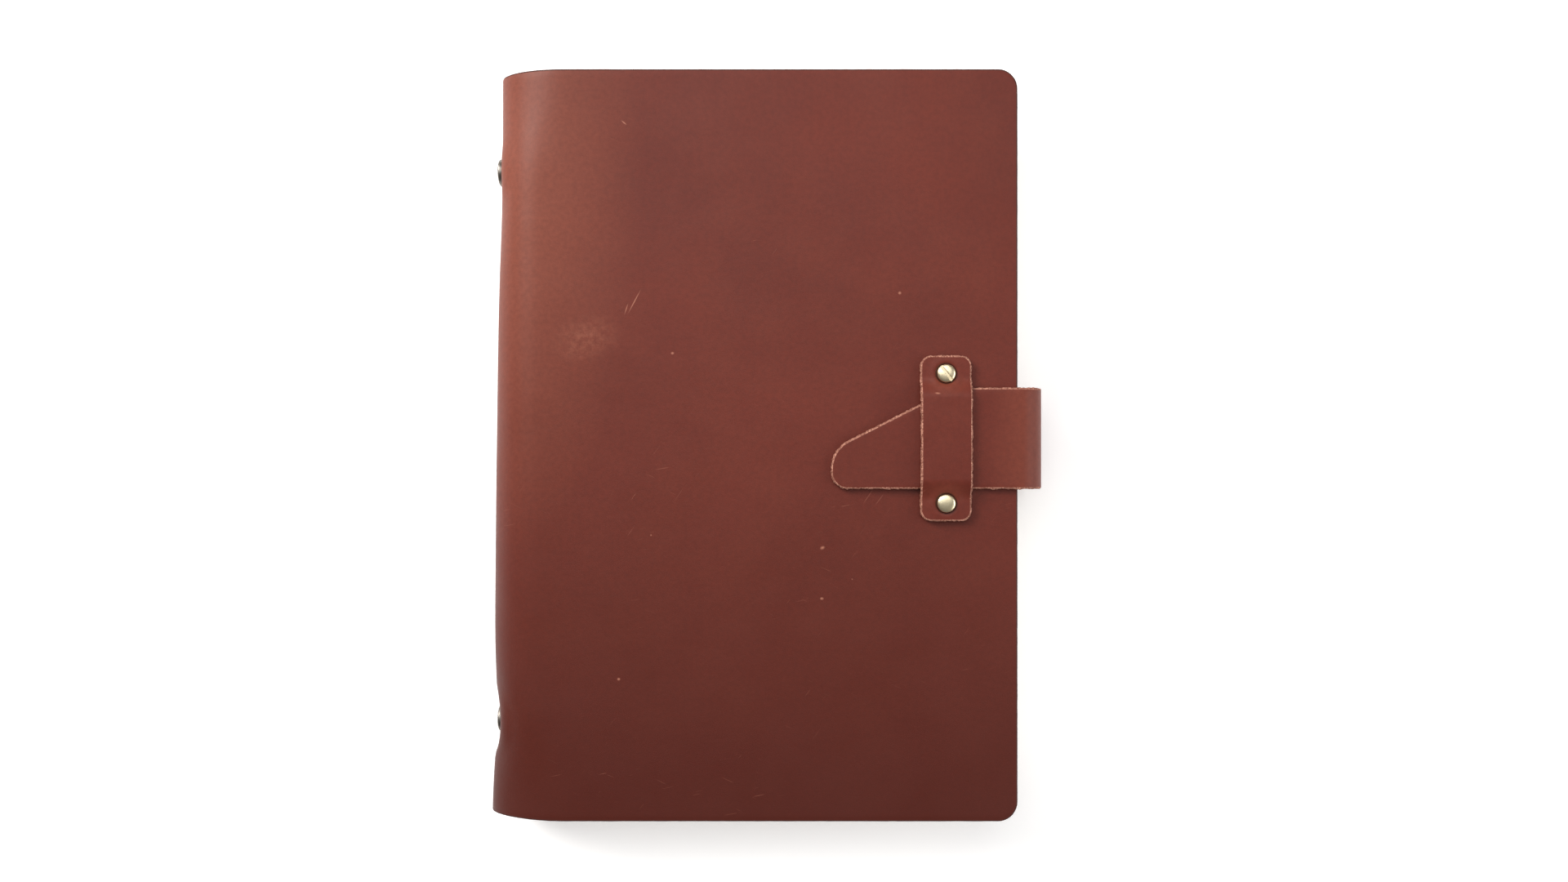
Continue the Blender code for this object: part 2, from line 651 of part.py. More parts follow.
def paper_edge(sign, full):
    """The outer side of one half of the stack, pinched at the rings and easing to its full thickness."""
    left = PAPER_FROM_CENTRE
    pinch_end = left + PAPER_AT_RINGS / 2
    line = [(left + PAPER_AT_RINGS * across, PAPER_AT_RINGS * up) for across, up in PAPER_BOUND_EDGE]
    for i in range(QUARTER_STEPS + 1):
        share = i / QUARTER_STEPS
        rise = (1 - math.cos(math.pi * share)) / 2
        u = pinch_end + (PAPER_EASE - pinch_end) * share
        line.append((u, PAPER_AT_RINGS + (full - PAPER_AT_RINGS) * rise))
    line.append((left + PAPER_WIDTH, full))
    return [(u, sign * v) for u, v in line]


def build_paper(papers):
    front_full = KEEPER_INNER_Z - FLANGE_HEIGHT - GAP - MID
    back_full = MID - LEATHER - PAPER_GAP
    bpy.ops.mesh.primitive_torus_add(
        major_radius=RING_RADIUS,
        minor_radius=PAPER_HOLE_RADIUS,
        major_segments=TORUS_STEPS,
        minor_segments=TORUS_SIDE_STEPS,
    )
    torus = bpy.context.object
    channels = bmesh.new()
    for y in RING_PLACES:
        hole = torus.data.copy()
        hole.transform(Matrix.Translation((0, y, 0)) @ Matrix.Rotation(math.pi / 2, 4, "X"))
        channels.from_mesh(hole)
    bpy.data.objects.remove(torus)
    cutter = new_cutter("paper_channels", channels)
    for side, sign, full in (("front", 1, front_full), ("back", -1, back_full)):
        line = paper_edge(sign, full)
        middle = sign * GAP / 2
        outline = [(PAPER_FROM_CENTRE, middle), (PAPER_FROM_CENTRE + PAPER_WIDTH, middle)]
        block = flat_piece(f"paper_{side}", [outline + line[::-1]], PAPER_HEIGHT, SIDE_VIEW)
        finish(block, "paper", papers[side], (RING_X, 0, MID))
        cut(block, cutter)


def build_notebook():
    origin = new_pivot("notebook_origin", None)
    back_cover = new_pivot("back_cover_body", origin)
    spine = new_pivot("spine_axis", back_cover, FOLD_X, 0, FOLD_Z)
    front_cover = new_pivot("front_cover_axis", spine, FOLD_X, 0, COVER_THICKNESS - FOLD_Z)
    strap_riser = new_pivot("strap_axis", back_cover, STRAP_FOLD_X, 0, STRAP_FOLD_Z)
    strap_tongue = new_pivot("tongue_axis", strap_riser, STRAP_FOLD_X, 0, STRAP_TOP - STRAP_FOLD_Z)
    front_rings = new_pivot("front_rings_axis", spine, BLADE_PIVOT_X, 0, MID + BLADE_EDGE)
    back_rings = new_pivot("back_rings_axis", spine, BLADE_PIVOT_X, 0, MID - BLADE_EDGE)
    levers = {
        "top": new_pivot("top_lever_axis", spine, LEVER_PIN_X, LEVER_PIN_Y, MID),
        "bottom": new_pivot("bottom_lever_axis", spine, LEVER_PIN_X, -LEVER_PIN_Y, MID),
    }
    papers = {
        "front": new_pivot("front_paper_axis", spine, RING_X, 0, MID),
        "back": new_pivot("back_paper_axis", spine, RING_X, 0, MID),
    }
    build_cover(back_cover, spine, front_cover)
    build_strap(strap_riser, strap_tongue)
    build_keeper(front_cover)
    build_keeper_screws(front_cover)
    build_spine_screws(spine)
    build_housing(spine)
    build_ring_half("front", 1, front_rings)
    build_ring_half("back", -1, back_rings)
    build_levers(levers, spine)
    build_paper(papers)


remove_all_objects()
parts = new_collection("leather_notebook_cover")
cutters = new_collection("cutters")
materials = {name: new_material(name) for name in MATERIALS}
build_notebook()
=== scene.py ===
"""The looks of the leather notebook cover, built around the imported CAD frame.

The cover and its strap are one cut sheet of leather. It is laid out flat, in U along the sheet and V up
the page, and then wrapped round the book, so its grain runs on across every fold. U is 0 in the middle
of the spine, positive towards the front cover and negative towards the back cover and the strap.
All lengths are in metres. Book X is 0 at the spine's outer face.
"""

import math

import bmesh
import bpy
import numpy as np
from mathutils import Matrix, Vector, noise

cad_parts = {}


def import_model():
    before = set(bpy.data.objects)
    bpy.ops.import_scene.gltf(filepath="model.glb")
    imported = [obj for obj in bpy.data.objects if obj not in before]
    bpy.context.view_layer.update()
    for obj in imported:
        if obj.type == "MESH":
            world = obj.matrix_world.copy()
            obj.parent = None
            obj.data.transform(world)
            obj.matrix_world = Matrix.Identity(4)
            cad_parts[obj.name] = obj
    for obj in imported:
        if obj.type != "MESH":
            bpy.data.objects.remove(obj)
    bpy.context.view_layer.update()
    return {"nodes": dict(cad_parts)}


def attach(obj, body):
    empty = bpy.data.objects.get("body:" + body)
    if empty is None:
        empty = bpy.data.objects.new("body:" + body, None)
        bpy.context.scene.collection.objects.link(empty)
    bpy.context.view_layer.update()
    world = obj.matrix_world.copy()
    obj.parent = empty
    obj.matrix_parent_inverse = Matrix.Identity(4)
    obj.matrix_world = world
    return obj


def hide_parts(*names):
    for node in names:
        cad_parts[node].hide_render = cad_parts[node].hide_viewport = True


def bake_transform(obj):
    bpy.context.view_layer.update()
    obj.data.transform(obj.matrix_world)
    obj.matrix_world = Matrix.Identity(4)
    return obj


# Sizes of the CAD model
COVER_HEIGHT = 0.2300
COVER_WIDTH = 0.1600
COVER_THICKNESS = 0.0270
LEATHER = 0.0020
CORNER_RADIUS = 0.0060
SPINE_RADIUS = 0.0090
STRAP_WIDTH = 0.0308
STRAP_Y = 0.0021
STRAP_BEND_RADIUS = 0.0078
TONGUE_LENGTH = 0.0571
TONGUE_STRAIGHT = 0.0200
TONGUE_SLANT = math.radians(26.8)
TONGUE_UPPER_RADIUS = 0.0096
TONGUE_LOWER_RADIUS = 0.0050
KEEPER_LENGTH = 0.0504
KEEPER_WIDTH = 0.0156
KEEPER_CORNER_RADIUS = 0.0033
KEEPER_FROM_FORE_EDGE = 0.0222
KEEPER_SCREW_SPACING = 0.0394
KEEPER_HEAD_RADIUS = 0.0028
SPINE_HEAD_RADIUS = 0.0042
SPINE_SCREW_Y = 0.0860
HEAD_HEIGHT = 0.0011
FLANGE_HEIGHT = 0.0009
SLOT_WIDTH = 0.0009
SLOT_DEPTH = 0.0005
SLOT_ANGLE = math.radians(-53)
RING_RADIUS = 0.0086
RING_WIRE_RADIUS = 0.0013
RING_PLACES = (-0.073, -0.054, -0.035, 0.035, 0.054, 0.073)
GAP = 0.0003

MID = COVER_THICKNESS / 2
STRAP_TOP = COVER_THICKNESS + GAP + LEATHER
STRAP_ROOT = COVER_WIDTH + GAP
FULL_WIDTH = STRAP_ROOT + STRAP_BEND_RADIUS
BOOK_CENTRE_X = (FULL_WIDTH - GAP - HEAD_HEIGHT) / 2
KEEPER_X = COVER_WIDTH - KEEPER_FROM_FORE_EDGE
KEEPER_SCREW_YS = (STRAP_Y + KEEPER_SCREW_SPACING / 2, STRAP_Y - KEEPER_SCREW_SPACING / 2)
KEEPER_HEAD_Z = STRAP_TOP + GAP
KEEPER_INNER_Z = COVER_THICKNESS - LEATHER - GAP
HOUSING_TOP = 0.0060
RING_X = 0.0111

# Distances along the middle of the leather
HALF_LEATHER = LEATHER / 2
SPINE_FLAT = MID - SPINE_RADIUS
FOLD_ARC = math.pi / 2 * (SPINE_RADIUS - HALF_LEATHER)
FOLD_END = SPINE_FLAT + FOLD_ARC
FORE_EDGE = FOLD_END + COVER_WIDTH - SPINE_RADIUS
STRAP_ARC = math.pi / 2 * (STRAP_BEND_RADIUS - HALF_LEATHER)
BEND_START = FORE_EDGE + GAP
RISER_START = BEND_START + STRAP_ARC
RISER_LENGTH = STRAP_TOP - 2 * STRAP_BEND_RADIUS
RISER_END = RISER_START + RISER_LENGTH
TONGUE_START = RISER_END + STRAP_ARC
TONGUE_TIP = TONGUE_START + GAP + TONGUE_LENGTH
STRAP_CUT = RISER_START + RISER_LENGTH / 2
FILLET = 0.0022  # at the root of the strap

# The real leather rolls over more widely than the CAD fold: its roll is a quarter ellipse this wide
ROLL_WIDTH = 0.0140  # over the rings
END_ROLL_WIDTH = 0.0215  # at the top and bottom of the front cover
BACK_ROLL_WIDTH = 0.0115
ROLL_REACH = 0.0240  # book X from which the covers are flat
ROLL_STEPS = 400

# The cut edge: how far each ring of it is from the outline, and its height in half thicknesses
EDGE_INSET = 0.00055
COVER_FRAY = 0.00004  # how ragged the cover's trimmed edge is
RAW_FRAY = 0.00034  # and how ragged the strap's and the keeper's are
KEEPER_STEP = 0.0004  # between points of the keeper's layout
RIM_BEVEL = 0.00006  # on the sharp edges of the screw heads
HEAD_SKIRT = 0.0011  # how deep the keeper's outer heads reach into its leather
EDGE_RINGS = ((0.00020, 0.90), (0.00004, 0.55), (0.0, 0.0), (0.00004, -0.55), (0.00020, -0.90))

# How far the leather of the spine stands out from the book, from the bottom to the top
BULGE = (
    (-0.115, 0.0035),
    (-0.103, 0.0030),
    (-0.086, 0.0016),
    (-0.060, 0.0026),
    (-0.015, 0.0022),
    (0.021, 0.0017),
    (0.035, 0.0015),
    (0.0545, 0.0010),
    (0.071, 0.0003),
    (0.086, 0.0),
    (0.115, 0.0001),
)

# Pale marks of wear on the grain: (centre in U and V, half length and half width, angle)
COVER_MARKS = (
    ((0.0510, 0.0439), (0.0046, 0.00022), 1.08),
    ((0.0485, 0.0416), (0.0020, 0.00018), 1.25),
    ((0.0478, 0.0985), (0.0012, 0.00025), -0.7),
    ((0.0626, 0.0281), (0.0006, 0.0005), 0.0),
    ((0.1320, 0.0465), (0.0006, 0.0006), 0.0),
    ((0.1084, -0.0313), (0.0009, 0.0006), 0.4),
    ((0.1082, -0.0468), (0.0007, 0.0005), 0.0),
    ((0.0462, -0.0714), (0.0006, 0.0005), 0.0),
)
KEEPER_UV = (0.31, 0.40)  # where the keeper lies in the sheet's U and V, clear of the cover
KEEPER_MARKS = (((KEEPER_UV[0] + 0.0136, KEEPER_UV[1] - 0.0028), (0.00035, 0.0010), 0.1),)

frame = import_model()


# Shapes


def world(x, y, z):
    return Vector((x - BOOK_CENTRE_X, y, z))


def smooth(low, high, value):
    """0 up to low and 1 from high, easing in between."""
    share = min(1.0, max(0.0, (value - low) / (high - low)))
    return share * share * (3 - 2 * share)


def wander(u, v, size, seed):
    """Smooth noise from about -1 to 1 that changes over the given distance."""
    return noise.noise(Vector((u / size, v / size, seed)))


def wrap(u):
    """A point of the leather's middle line and the direction of its grain side: (x, z, nx, nz)."""
    side = 1 if u >= 0 else -1
    s = abs(u)
    middle = SPINE_RADIUS - HALF_LEATHER
    if s <= SPINE_FLAT:
        return HALF_LEATHER, MID + u, -1.0, 0.0
    if s <= FOLD_END:
        a = (s - SPINE_FLAT) / middle
        x = SPINE_RADIUS - middle * math.cos(a)
        return x, MID + side * (SPINE_FLAT + middle * math.sin(a)), -math.cos(a), side * math.sin(a)
    if s <= BEND_START:
        return SPINE_RADIUS + s - FOLD_END, MID + side * (MID - HALF_LEATHER), 0.0, float(side)
    middle = STRAP_BEND_RADIUS - HALF_LEATHER
    if s <= RISER_START:
        a = (s - BEND_START) / middle
        x, z = STRAP_ROOT + middle * math.sin(a), STRAP_BEND_RADIUS - middle * math.cos(a)
        return x, z, math.sin(a), -math.cos(a)
    if s <= RISER_END:
        return FULL_WIDTH - HALF_LEATHER, STRAP_BEND_RADIUS + s - RISER_START, 1.0, 0.0
    if s <= TONGUE_START:
        a = (s - RISER_END) / middle
        x, z = STRAP_ROOT + middle * math.cos(a), STRAP_TOP - STRAP_BEND_RADIUS + middle * math.sin(a)
        return x, z, math.cos(a), math.sin(a)
    return STRAP_ROOT - (s - TONGUE_START), STRAP_TOP - HALF_LEATHER, 0.0, 1.0


def roll_table(width):
    """The middle of the leather along a roll of that width, at equal steps: rows of (x, up, nx, n up)."""
    rows = []
    for i in range(ROLL_STEPS + 1):
        a = math.pi / 2 * i / ROLL_STEPS
        normal = Vector((-math.cos(a) / width, math.sin(a) / MID)).normalized()
        across = width * (1 - math.cos(a)) + normal.x * -HALF_LEATHER
        rows.append((across, MID * math.sin(a) - normal.y * HALF_LEATHER, normal.x, normal.y))
    rows.append((ROLL_REACH, MID - HALF_LEATHER, 0.0, 1.0))
    rows = np.array(rows)
    steps = np.hypot(np.diff(rows[:, 0]), np.diff(rows[:, 1]))
    along = np.concatenate([[0], np.cumsum(steps)])
    even = np.linspace(0, along[-1], ROLL_STEPS + 1)
    return np.array([np.interp(even, along, rows[:, k]) for k in range(4)]).T


ROLLS = {width: roll_table(width) for width in (ROLL_WIDTH, END_ROLL_WIDTH, BACK_ROLL_WIDTH)}
ROLL_END = FOLD_END + ROLL_REACH - SPINE_RADIUS


def rolled(u, v):
    """wrap(), with the leather rolled over widely between the spine and the flat of the covers."""
    x, z, nx, nz = wrap(u)
    share = abs(u) / ROLL_END
    if share >= 1:
        return x, z, nx, nz
    side = 1 if u >= 0 else -1
    at = share * ROLL_STEPS
    low = min(int(at), ROLL_STEPS - 1)
    part = at - low

    def row(width):
        table = ROLLS[width]
        return table[low] * (1 - part) + table[low + 1] * part

    line = row(BACK_ROLL_WIDTH)
    front = smooth(-0.002, 0.002, u)
    if front > 0:
        ends = smooth(0.078, 0.110, abs(v))
        line = line * (1 - front) + (row(ROLL_WIDTH) * (1 - ends) + row(END_ROLL_WIDTH) * ends) * front
    flat = max(1 - smooth(0.0034, 0.013, math.hypot(u, v - y)) for y in (-SPINE_SCREW_Y, SPINE_SCREW_Y))
    cad = np.array((x, side * (z - MID), nx, side * nz))
    line = line * (1 - flat) + cad * flat
    size = math.hypot(line[2], line[3])
    return line[0], MID + side * line[1], line[2] / size, side * line[3] / size


def bulge_at(v):
    heights = [h for _, h in BULGE]
    places = [y for y, _ in BULGE]
    near = np.linspace(v - 0.008, v + 0.008, 9)
    return float(np.mean(np.interp(near, places, heights)))


def cover_place(u, v, w):
    """Where a point of the cover's leather lies; w is 1 on the grain side and -1 on the flesh side."""
    x, z, nx, nz = rolled(u, v)
    out = HALF_LEATHER * w
    if abs(u) < FOLD_END + 0.006:
        bulge = bulge_at(v) * (1 - smooth(0.0, FOLD_END + 0.006, abs(u)))
        for y in (-SPINE_SCREW_Y, SPINE_SCREW_Y):
            away = math.hypot(u, v - y)
            if away < 0.012:
                pull = 1 - smooth(SPINE_HEAD_RADIUS * 0.8, 0.012, away)
                bulge *= 1 - pull
                out -= pull * 0.00035 * max(w, 0)
        x += nx * bulge
    if w > 0:
        soft = smooth(0, 0.012, abs(u)) * (1 - smooth(FORE_EDGE - 0.004, FORE_EDGE, abs(u)))
        ripple = 0.00009 * wander(u, v, 0.055, 3.1) + 0.00003 * wander(u, v, 0.014, 8.4)
        out += w * soft * (ripple if u > 0 else -abs(ripple))
    return world(x + nx * out, v, z + nz * out)


def keeper_lift(q, start, end):
    return (LEATHER + GAP) * (1 - smooth(start, end, abs(q)))


def keeper_place(q, p, w):
    """The keeper's leather: q runs up the page and p towards the fore edge, from its middle."""
    low, high = COVER_THICKNESS + 0.00004, STRAP_TOP
    under = low + GAP + keeper_lift(q, STRAP_WIDTH / 2 + 0.0003, KEEPER_SCREW_SPACING / 2 - 0.0024)
    over = high + keeper_lift(q, STRAP_WIDTH / 2 - 0.0030, KEEPER_SCREW_SPACING / 2 - 0.0010)
    for side in (-1, 1):
        away = math.hypot(q - side * KEEPER_SCREW_SPACING / 2, p)
        seat = 1 - smooth(KEEPER_HEAD_RADIUS * 0.95, KEEPER_HEAD_RADIUS * 1.5, away)
        swell = smooth(KEEPER_HEAD_RADIUS * 0.9, KEEPER_HEAD_RADIUS * 1.25, away)
        swell *= 1 - smooth(KEEPER_HEAD_RADIUS * 1.25, KEEPER_HEAD_RADIUS * 2.2, away)
        over += 0.00022 * swell - 0.00025 * seat
    crown = 0.00012 * (1 - (p / (KEEPER_WIDTH / 2)) ** 2)
    over += crown + 0.00008 * wander(q, p, 0.009, 5.2)
    share = (w + 1) / 2
    return world(KEEPER_X + p, STRAP_Y + q, under + (over - under) * share)


def spaced(low, high, step):
    count = max(1, round((high - low) / step))
    return [low + (high - low) * i / count for i in range(count + 1)]


def strap_limits(u):
    """The lowest and highest V of the strap's inner outline at a U beyond the fore edge."""
    low, high = STRAP_Y - STRAP_WIDTH / 2, STRAP_Y + STRAP_WIDTH / 2
    bottom, top = low + EDGE_INSET, high - EDGE_INSET
    past = u - (FORE_EDGE - EDGE_INSET)
    radius = FILLET + EDGE_INSET
    if past < radius:
        rise = radius - math.sqrt(max(0.0, radius**2 - (radius - past) ** 2))
        return bottom - rise, top + rise
    reach = TONGUE_TIP - u
    slope = math.tan(TONGUE_SLANT)
    slant_low = high - (TONGUE_LENGTH - TONGUE_STRAIGHT) * slope
    top = min(top, slant_low + reach * slope - EDGE_INSET / math.cos(TONGUE_SLANT))
    centre_v = slant_low + TONGUE_UPPER_RADIUS * slope - TONGUE_UPPER_RADIUS / math.cos(TONGUE_SLANT)
    if reach < TONGUE_UPPER_RADIUS * (1 - math.sin(TONGUE_SLANT)):
        radius = TONGUE_UPPER_RADIUS - EDGE_INSET
        across = TONGUE_UPPER_RADIUS - reach
        top = centre_v + math.sqrt(max(0.0, radius**2 - across**2))
    if reach < TONGUE_LOWER_RADIUS:
        radius = TONGUE_LOWER_RADIUS - EDGE_INSET
        across = TONGUE_LOWER_RADIUS - reach
        bottom = low + TONGUE_LOWER_RADIUS - math.sqrt(max(0.0, radius**2 - across**2))
    return bottom, top


def quarter(radius, steps=9):
    return [radius * math.sin(math.pi / 2 * i / steps) for i in range(steps + 1)]


class Layout:
    """A flat layout of the leather: points in (U, V) and quads, each marked with its piece."""

    def __init__(self):
        self.points, self.index, self.quads = [], {}, []

    def point(self, u, v):
        key = (round(u * 1e7), round(v * 1e7))
        if key not in self.index:
            self.index[key] = len(self.points)
            self.points.append((u, v))
        return self.index[key]

    def columns(self, columns, mark):
        """columns are lists of points with the same count, and mark names the piece at a U."""
        for left, right in zip(columns, columns[1:]):
            name = mark((left[0][0] + right[0][0]) / 2)
            for i in range(len(left) - 1):
                corners = (left[i], right[i], right[i + 1], left[i + 1])
                self.quads.append((name, [self.point(*c) for c in corners]))


def rounded_panel(low_u, high_u, half_v, radius, us, vs, tight):
    """Columns of a rectangle with rounded corners, whose rows close up near its ends."""
    columns = []
    for u in us:
        past = max(low_u + radius - u, u - (high_u - radius), 0.0)
        reach = half_v - radius + math.sqrt(max(0.0, radius**2 - past**2))
        column = []
        for v in vs:
            if abs(v) > tight:
                v = math.copysign(tight + (abs(v) - tight) * (reach - tight) / (half_v - tight), v)
            column.append((u, v))
        columns.append(column)
    return columns


def boundary(layout):
    """The layout's outline as one closed run of (point, quad's mark), anticlockwise."""
    edges = {}
    for name, quad in layout.quads:
        for a, b in zip(quad, quad[1:] + quad[:1]):
            if (b, a) in edges:
                del edges[(b, a)]
            else:
                edges[(a, b)] = name
    following = {a: (b, name) for (a, b), name in edges.items()}
    start = next(iter(following))
    run, at = [], start
    while True:
        to, name = following[at]
        run.append((at, name))
        at = to
        if at == start:
            return run


def leather_pieces(layout, place, rough):
    """Meshes of a cut sheet: {mark: (vertices, normals, faces, material numbers, UVs)}.

    place gives the position from (u, v, w) and rough how ragged the edge is at (u, v).
    Face materials are 0 grain side, 1 flesh side and 2 cut edge.
    """
    count = len(layout.points)
    flat = [(u, v, 1.0) for u, v in layout.points] + [(u, v, -1.0) for u, v in layout.points]
    uvs = [(u, v) for u, v, _ in flat]
    faces, marks, kinds = [], [], []
    for name, quad in layout.quads:
        faces += [tuple(quad), tuple(i + count for i in reversed(quad))]
        marks += [name, name]
        kinds += [0, 1]
    run = boundary(layout)
    rings = [[i for i, _ in run]]
    outline = [Vector(layout.points[i]) for i, _ in run]
    turns = []
    for k, here in enumerate(outline):
        along = (outline[(k + 1) % len(outline)] - here).normalized() + (here - outline[k - 1]).normalized()
        turns.append(Vector((along.y, -along.x)).normalized())
    travelled, before = 0.0, (EDGE_INSET, 1.0)
    for number, (inset, height) in enumerate(EDGE_RINGS):
        travelled += math.hypot(before[0] - inset, (before[1] - height) * HALF_LEATHER)
        before = (inset, height)
        ring = []
        for here, turn in zip(outline, turns):
            fray = rough(here.x, here.y)
            fine, broad = wander(here.x, here.y, 0.0007, 2.0 + number), wander(here.x, here.y, 0.0025, 9.0)
            ragged = fray * (fine + 0.6 * broad)
            spot = here + turn * (EDGE_INSET - inset + ragged)
            mapped = here + turn * travelled
            ring.append(len(flat))
            flat.append((spot.x, spot.y, height))
            uvs.append((mapped.x, mapped.y))
        rings.append(ring)
    rings.append([i + count for i in rings[0]])
    for upper, lower in zip(rings, rings[1:]):
        for k in range(len(run)):
            n = (k + 1) % len(run)
            faces.append((upper[k], lower[k], lower[n], upper[n]))
            marks.append(run[k][1])
            kinds.append(2)
    places = [place(*p) for p in flat]
    whole = bpy.data.meshes.new("whole")
    whole.from_pydata(places, [], faces)
    whole.update()
    normals = [Vector(n.vector) for n in whole.vertex_normals]
    bpy.data.meshes.remove(whole)
    pieces = {}
    for mark in sorted(set(marks)):
        own = [i for i, m in enumerate(marks) if m == mark]
        used = sorted({v for i in own for v in faces[i]})
        renumber = {v: k for k, v in enumerate(used)}
        pieces[mark] = {
            "places": [places[v] for v in used],
            "normals": [normals[v] for v in used],
            "faces": [tuple(renumber[v] for v in faces[i]) for i in own],
            "kinds": [kinds[i] for i in own],
            "uvs": [uvs[v] for v in used],
        }
    return pieces


def leather_object(name, data, materials):
    mesh = bpy.data.meshes.new(name)
    mesh.from_pydata(data["places"], [], data["faces"])
    for material in materials:
        mesh.materials.append(material)
    mesh.polygons.foreach_set("material_index", data["kinds"])
    mesh.polygons.foreach_set("use_smooth", [True] * len(mesh.polygons))
    layer = mesh.uv_layers.new(name="sheet")
    for loop in mesh.loops:
        layer.data[loop.index].uv = data["uvs"][loop.vertex_index]
    mesh.normals_split_custom_set_from_vertices(data["normals"])
    obj = bpy.data.objects.new(name, mesh)
    bpy.context.scene.collection.objects.link(obj)
    return obj


def cover_layout():
    layout = Layout()
    half = COVER_HEIGHT / 2 - EDGE_INSET
    reach = FORE_EDGE - EDGE_INSET
    radius = CORNER_RADIUS - EDGE_INSET
    corner = [reach - radius + q for q in quarter(radius)]
    side = spaced(0, SPINE_FLAT, 0.0011) + spaced(SPINE_FLAT, FOLD_END, 0.0008)[1:]
    side += spaced(FOLD_END, reach - radius, 0.0018)[1:] + corner[1:]
    us = [-u for u in side[:0:-1]] + side
    low, high = strap_limits(reach)
    vs = spaced(-half, low, 0.0018) + spaced(low, high, 0.0013)[1:] + spaced(high, half, 0.0018)[1:]
    columns = rounded_panel(-reach, reach, half, radius, us, vs, 0.100)
    layout.columns(columns, lambda u: "front" if u > 0 else "back")

    flare = [reach + (FILLET + EDGE_INSET) * (1 - math.cos(math.pi / 2 * i / 7)) for i in range(8)]
    tip = TONGUE_TIP - EDGE_INSET
    tip_start = TONGUE_TIP - 0.0125
    strap = flare + spaced(flare[-1], STRAP_CUT, 0.0006)[1:] + spaced(STRAP_CUT, tip_start, 0.0006)[1:]
    strap += [tip_start + (tip - tip_start) * math.sin(math.pi / 2 * i / 30) for i in range(1, 31)]
    rows = len(spaced(low, high, 0.0013))
    columns = []
    for u in strap:
        bottom, top = strap_limits(u)
        columns.append([(-u, bottom + (top - bottom) * i / (rows - 1)) for i in range(rows)])
    layout.columns(columns[::-1], lambda u: "tongue" if u < -STRAP_CUT else "riser")
    return layout


def keeper_layout():
    layout = Layout()
    reach, half = KEEPER_LENGTH / 2 - EDGE_INSET, KEEPER_WIDTH / 2 - EDGE_INSET
    radius = KEEPER_CORNER_RADIUS - EDGE_INSET
    corner = [reach - radius + q for q in quarter(radius)]
    side = spaced(0, reach - radius, KEEPER_STEP) + corner[1:]
    us = [-u for u in side[:0:-1]] + side
    vs = spaced(-half, half, KEEPER_STEP)
    columns = rounded_panel(-reach, reach, half, radius, us, vs, half - radius - 0.0006)
    layout.columns(columns, lambda u: "keeper")
    return layout


def build_leather(grain, keeper_grain, flesh, edge, raw):
    def rough(u, v):
        strap = smooth(FORE_EDGE + 0.002, FORE_EDGE + 0.006, -u)
        return COVER_FRAY + RAW_FRAY * strap

    pieces = leather_pieces(cover_layout(), cover_place, rough)
    front = leather_object("leather_front", pieces["front"], (grain, flesh, edge))
    back = leather_object("leather_back", pieces["back"], (grain, flesh, edge))
    riser = leather_object("leather_strap_riser", pieces["riser"], (grain, flesh, raw))
    tongue = leather_object("leather_strap_tongue", pieces["tongue"], (grain, flesh, raw))
    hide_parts("cover_front", "cover_front_fold", "cover_spine")
    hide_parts("cover_back", "cover_back_fold")
    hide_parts("strap_lower_bend", "strap_riser")
    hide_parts("strap_upper_bend", "strap_tongue")
    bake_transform(front)
    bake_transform(back)
    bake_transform(riser)
    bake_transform(tongue)
    keeper_data = leather_pieces(keeper_layout(), keeper_place, lambda u, v: RAW_FRAY)["keeper"]
    keeper_data["uvs"] = [(u + KEEPER_UV[0], v + KEEPER_UV[1]) for u, v in keeper_data["uvs"]]
    keeper = leather_object("leather_keeper", keeper_data, (keeper_grain, flesh, raw))
    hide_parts("keeper")
    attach(keeper, "front_cover")


# Metal


def lathe(profile, steps=56):
    """A closed round mesh about Z from a profile that starts and ends on the axis."""
    shape = bmesh.new()
    rings = []
    for radius, height in profile:
        if radius == 0:
            rings.append([shape.verts.new((0, 0, height))])
        else:
            spokes = (2 * math.pi * i / steps for i in range(steps))
            points = [(radius * math.cos(a), radius * math.sin(a), height) for a in spokes]
            rings.append([shape.verts.new(point) for point in points])
    for upper, lower in zip(rings, rings[1:]):
        for i in range(steps):
            n = (i + 1) % steps
            above, below = len(upper), len(lower)
            corners = [upper[i % above], lower[i % below], lower[n % below], upper[n % above]]
            unique = list(dict.fromkeys(corners))
            if len(unique) > 2:
                shape.faces.new(unique)
    bmesh.ops.recalc_face_normals(shape, faces=shape.faces)
    return shape


def as_object(name, shape, material):
    mesh = bpy.data.meshes.new(name)
    shape.to_mesh(mesh)
    shape.free()
    mesh.materials.append(material)
    mesh.shade_smooth()
    obj = bpy.data.objects.new(name, mesh)
    bpy.context.scene.collection.objects.link(obj)
    return obj


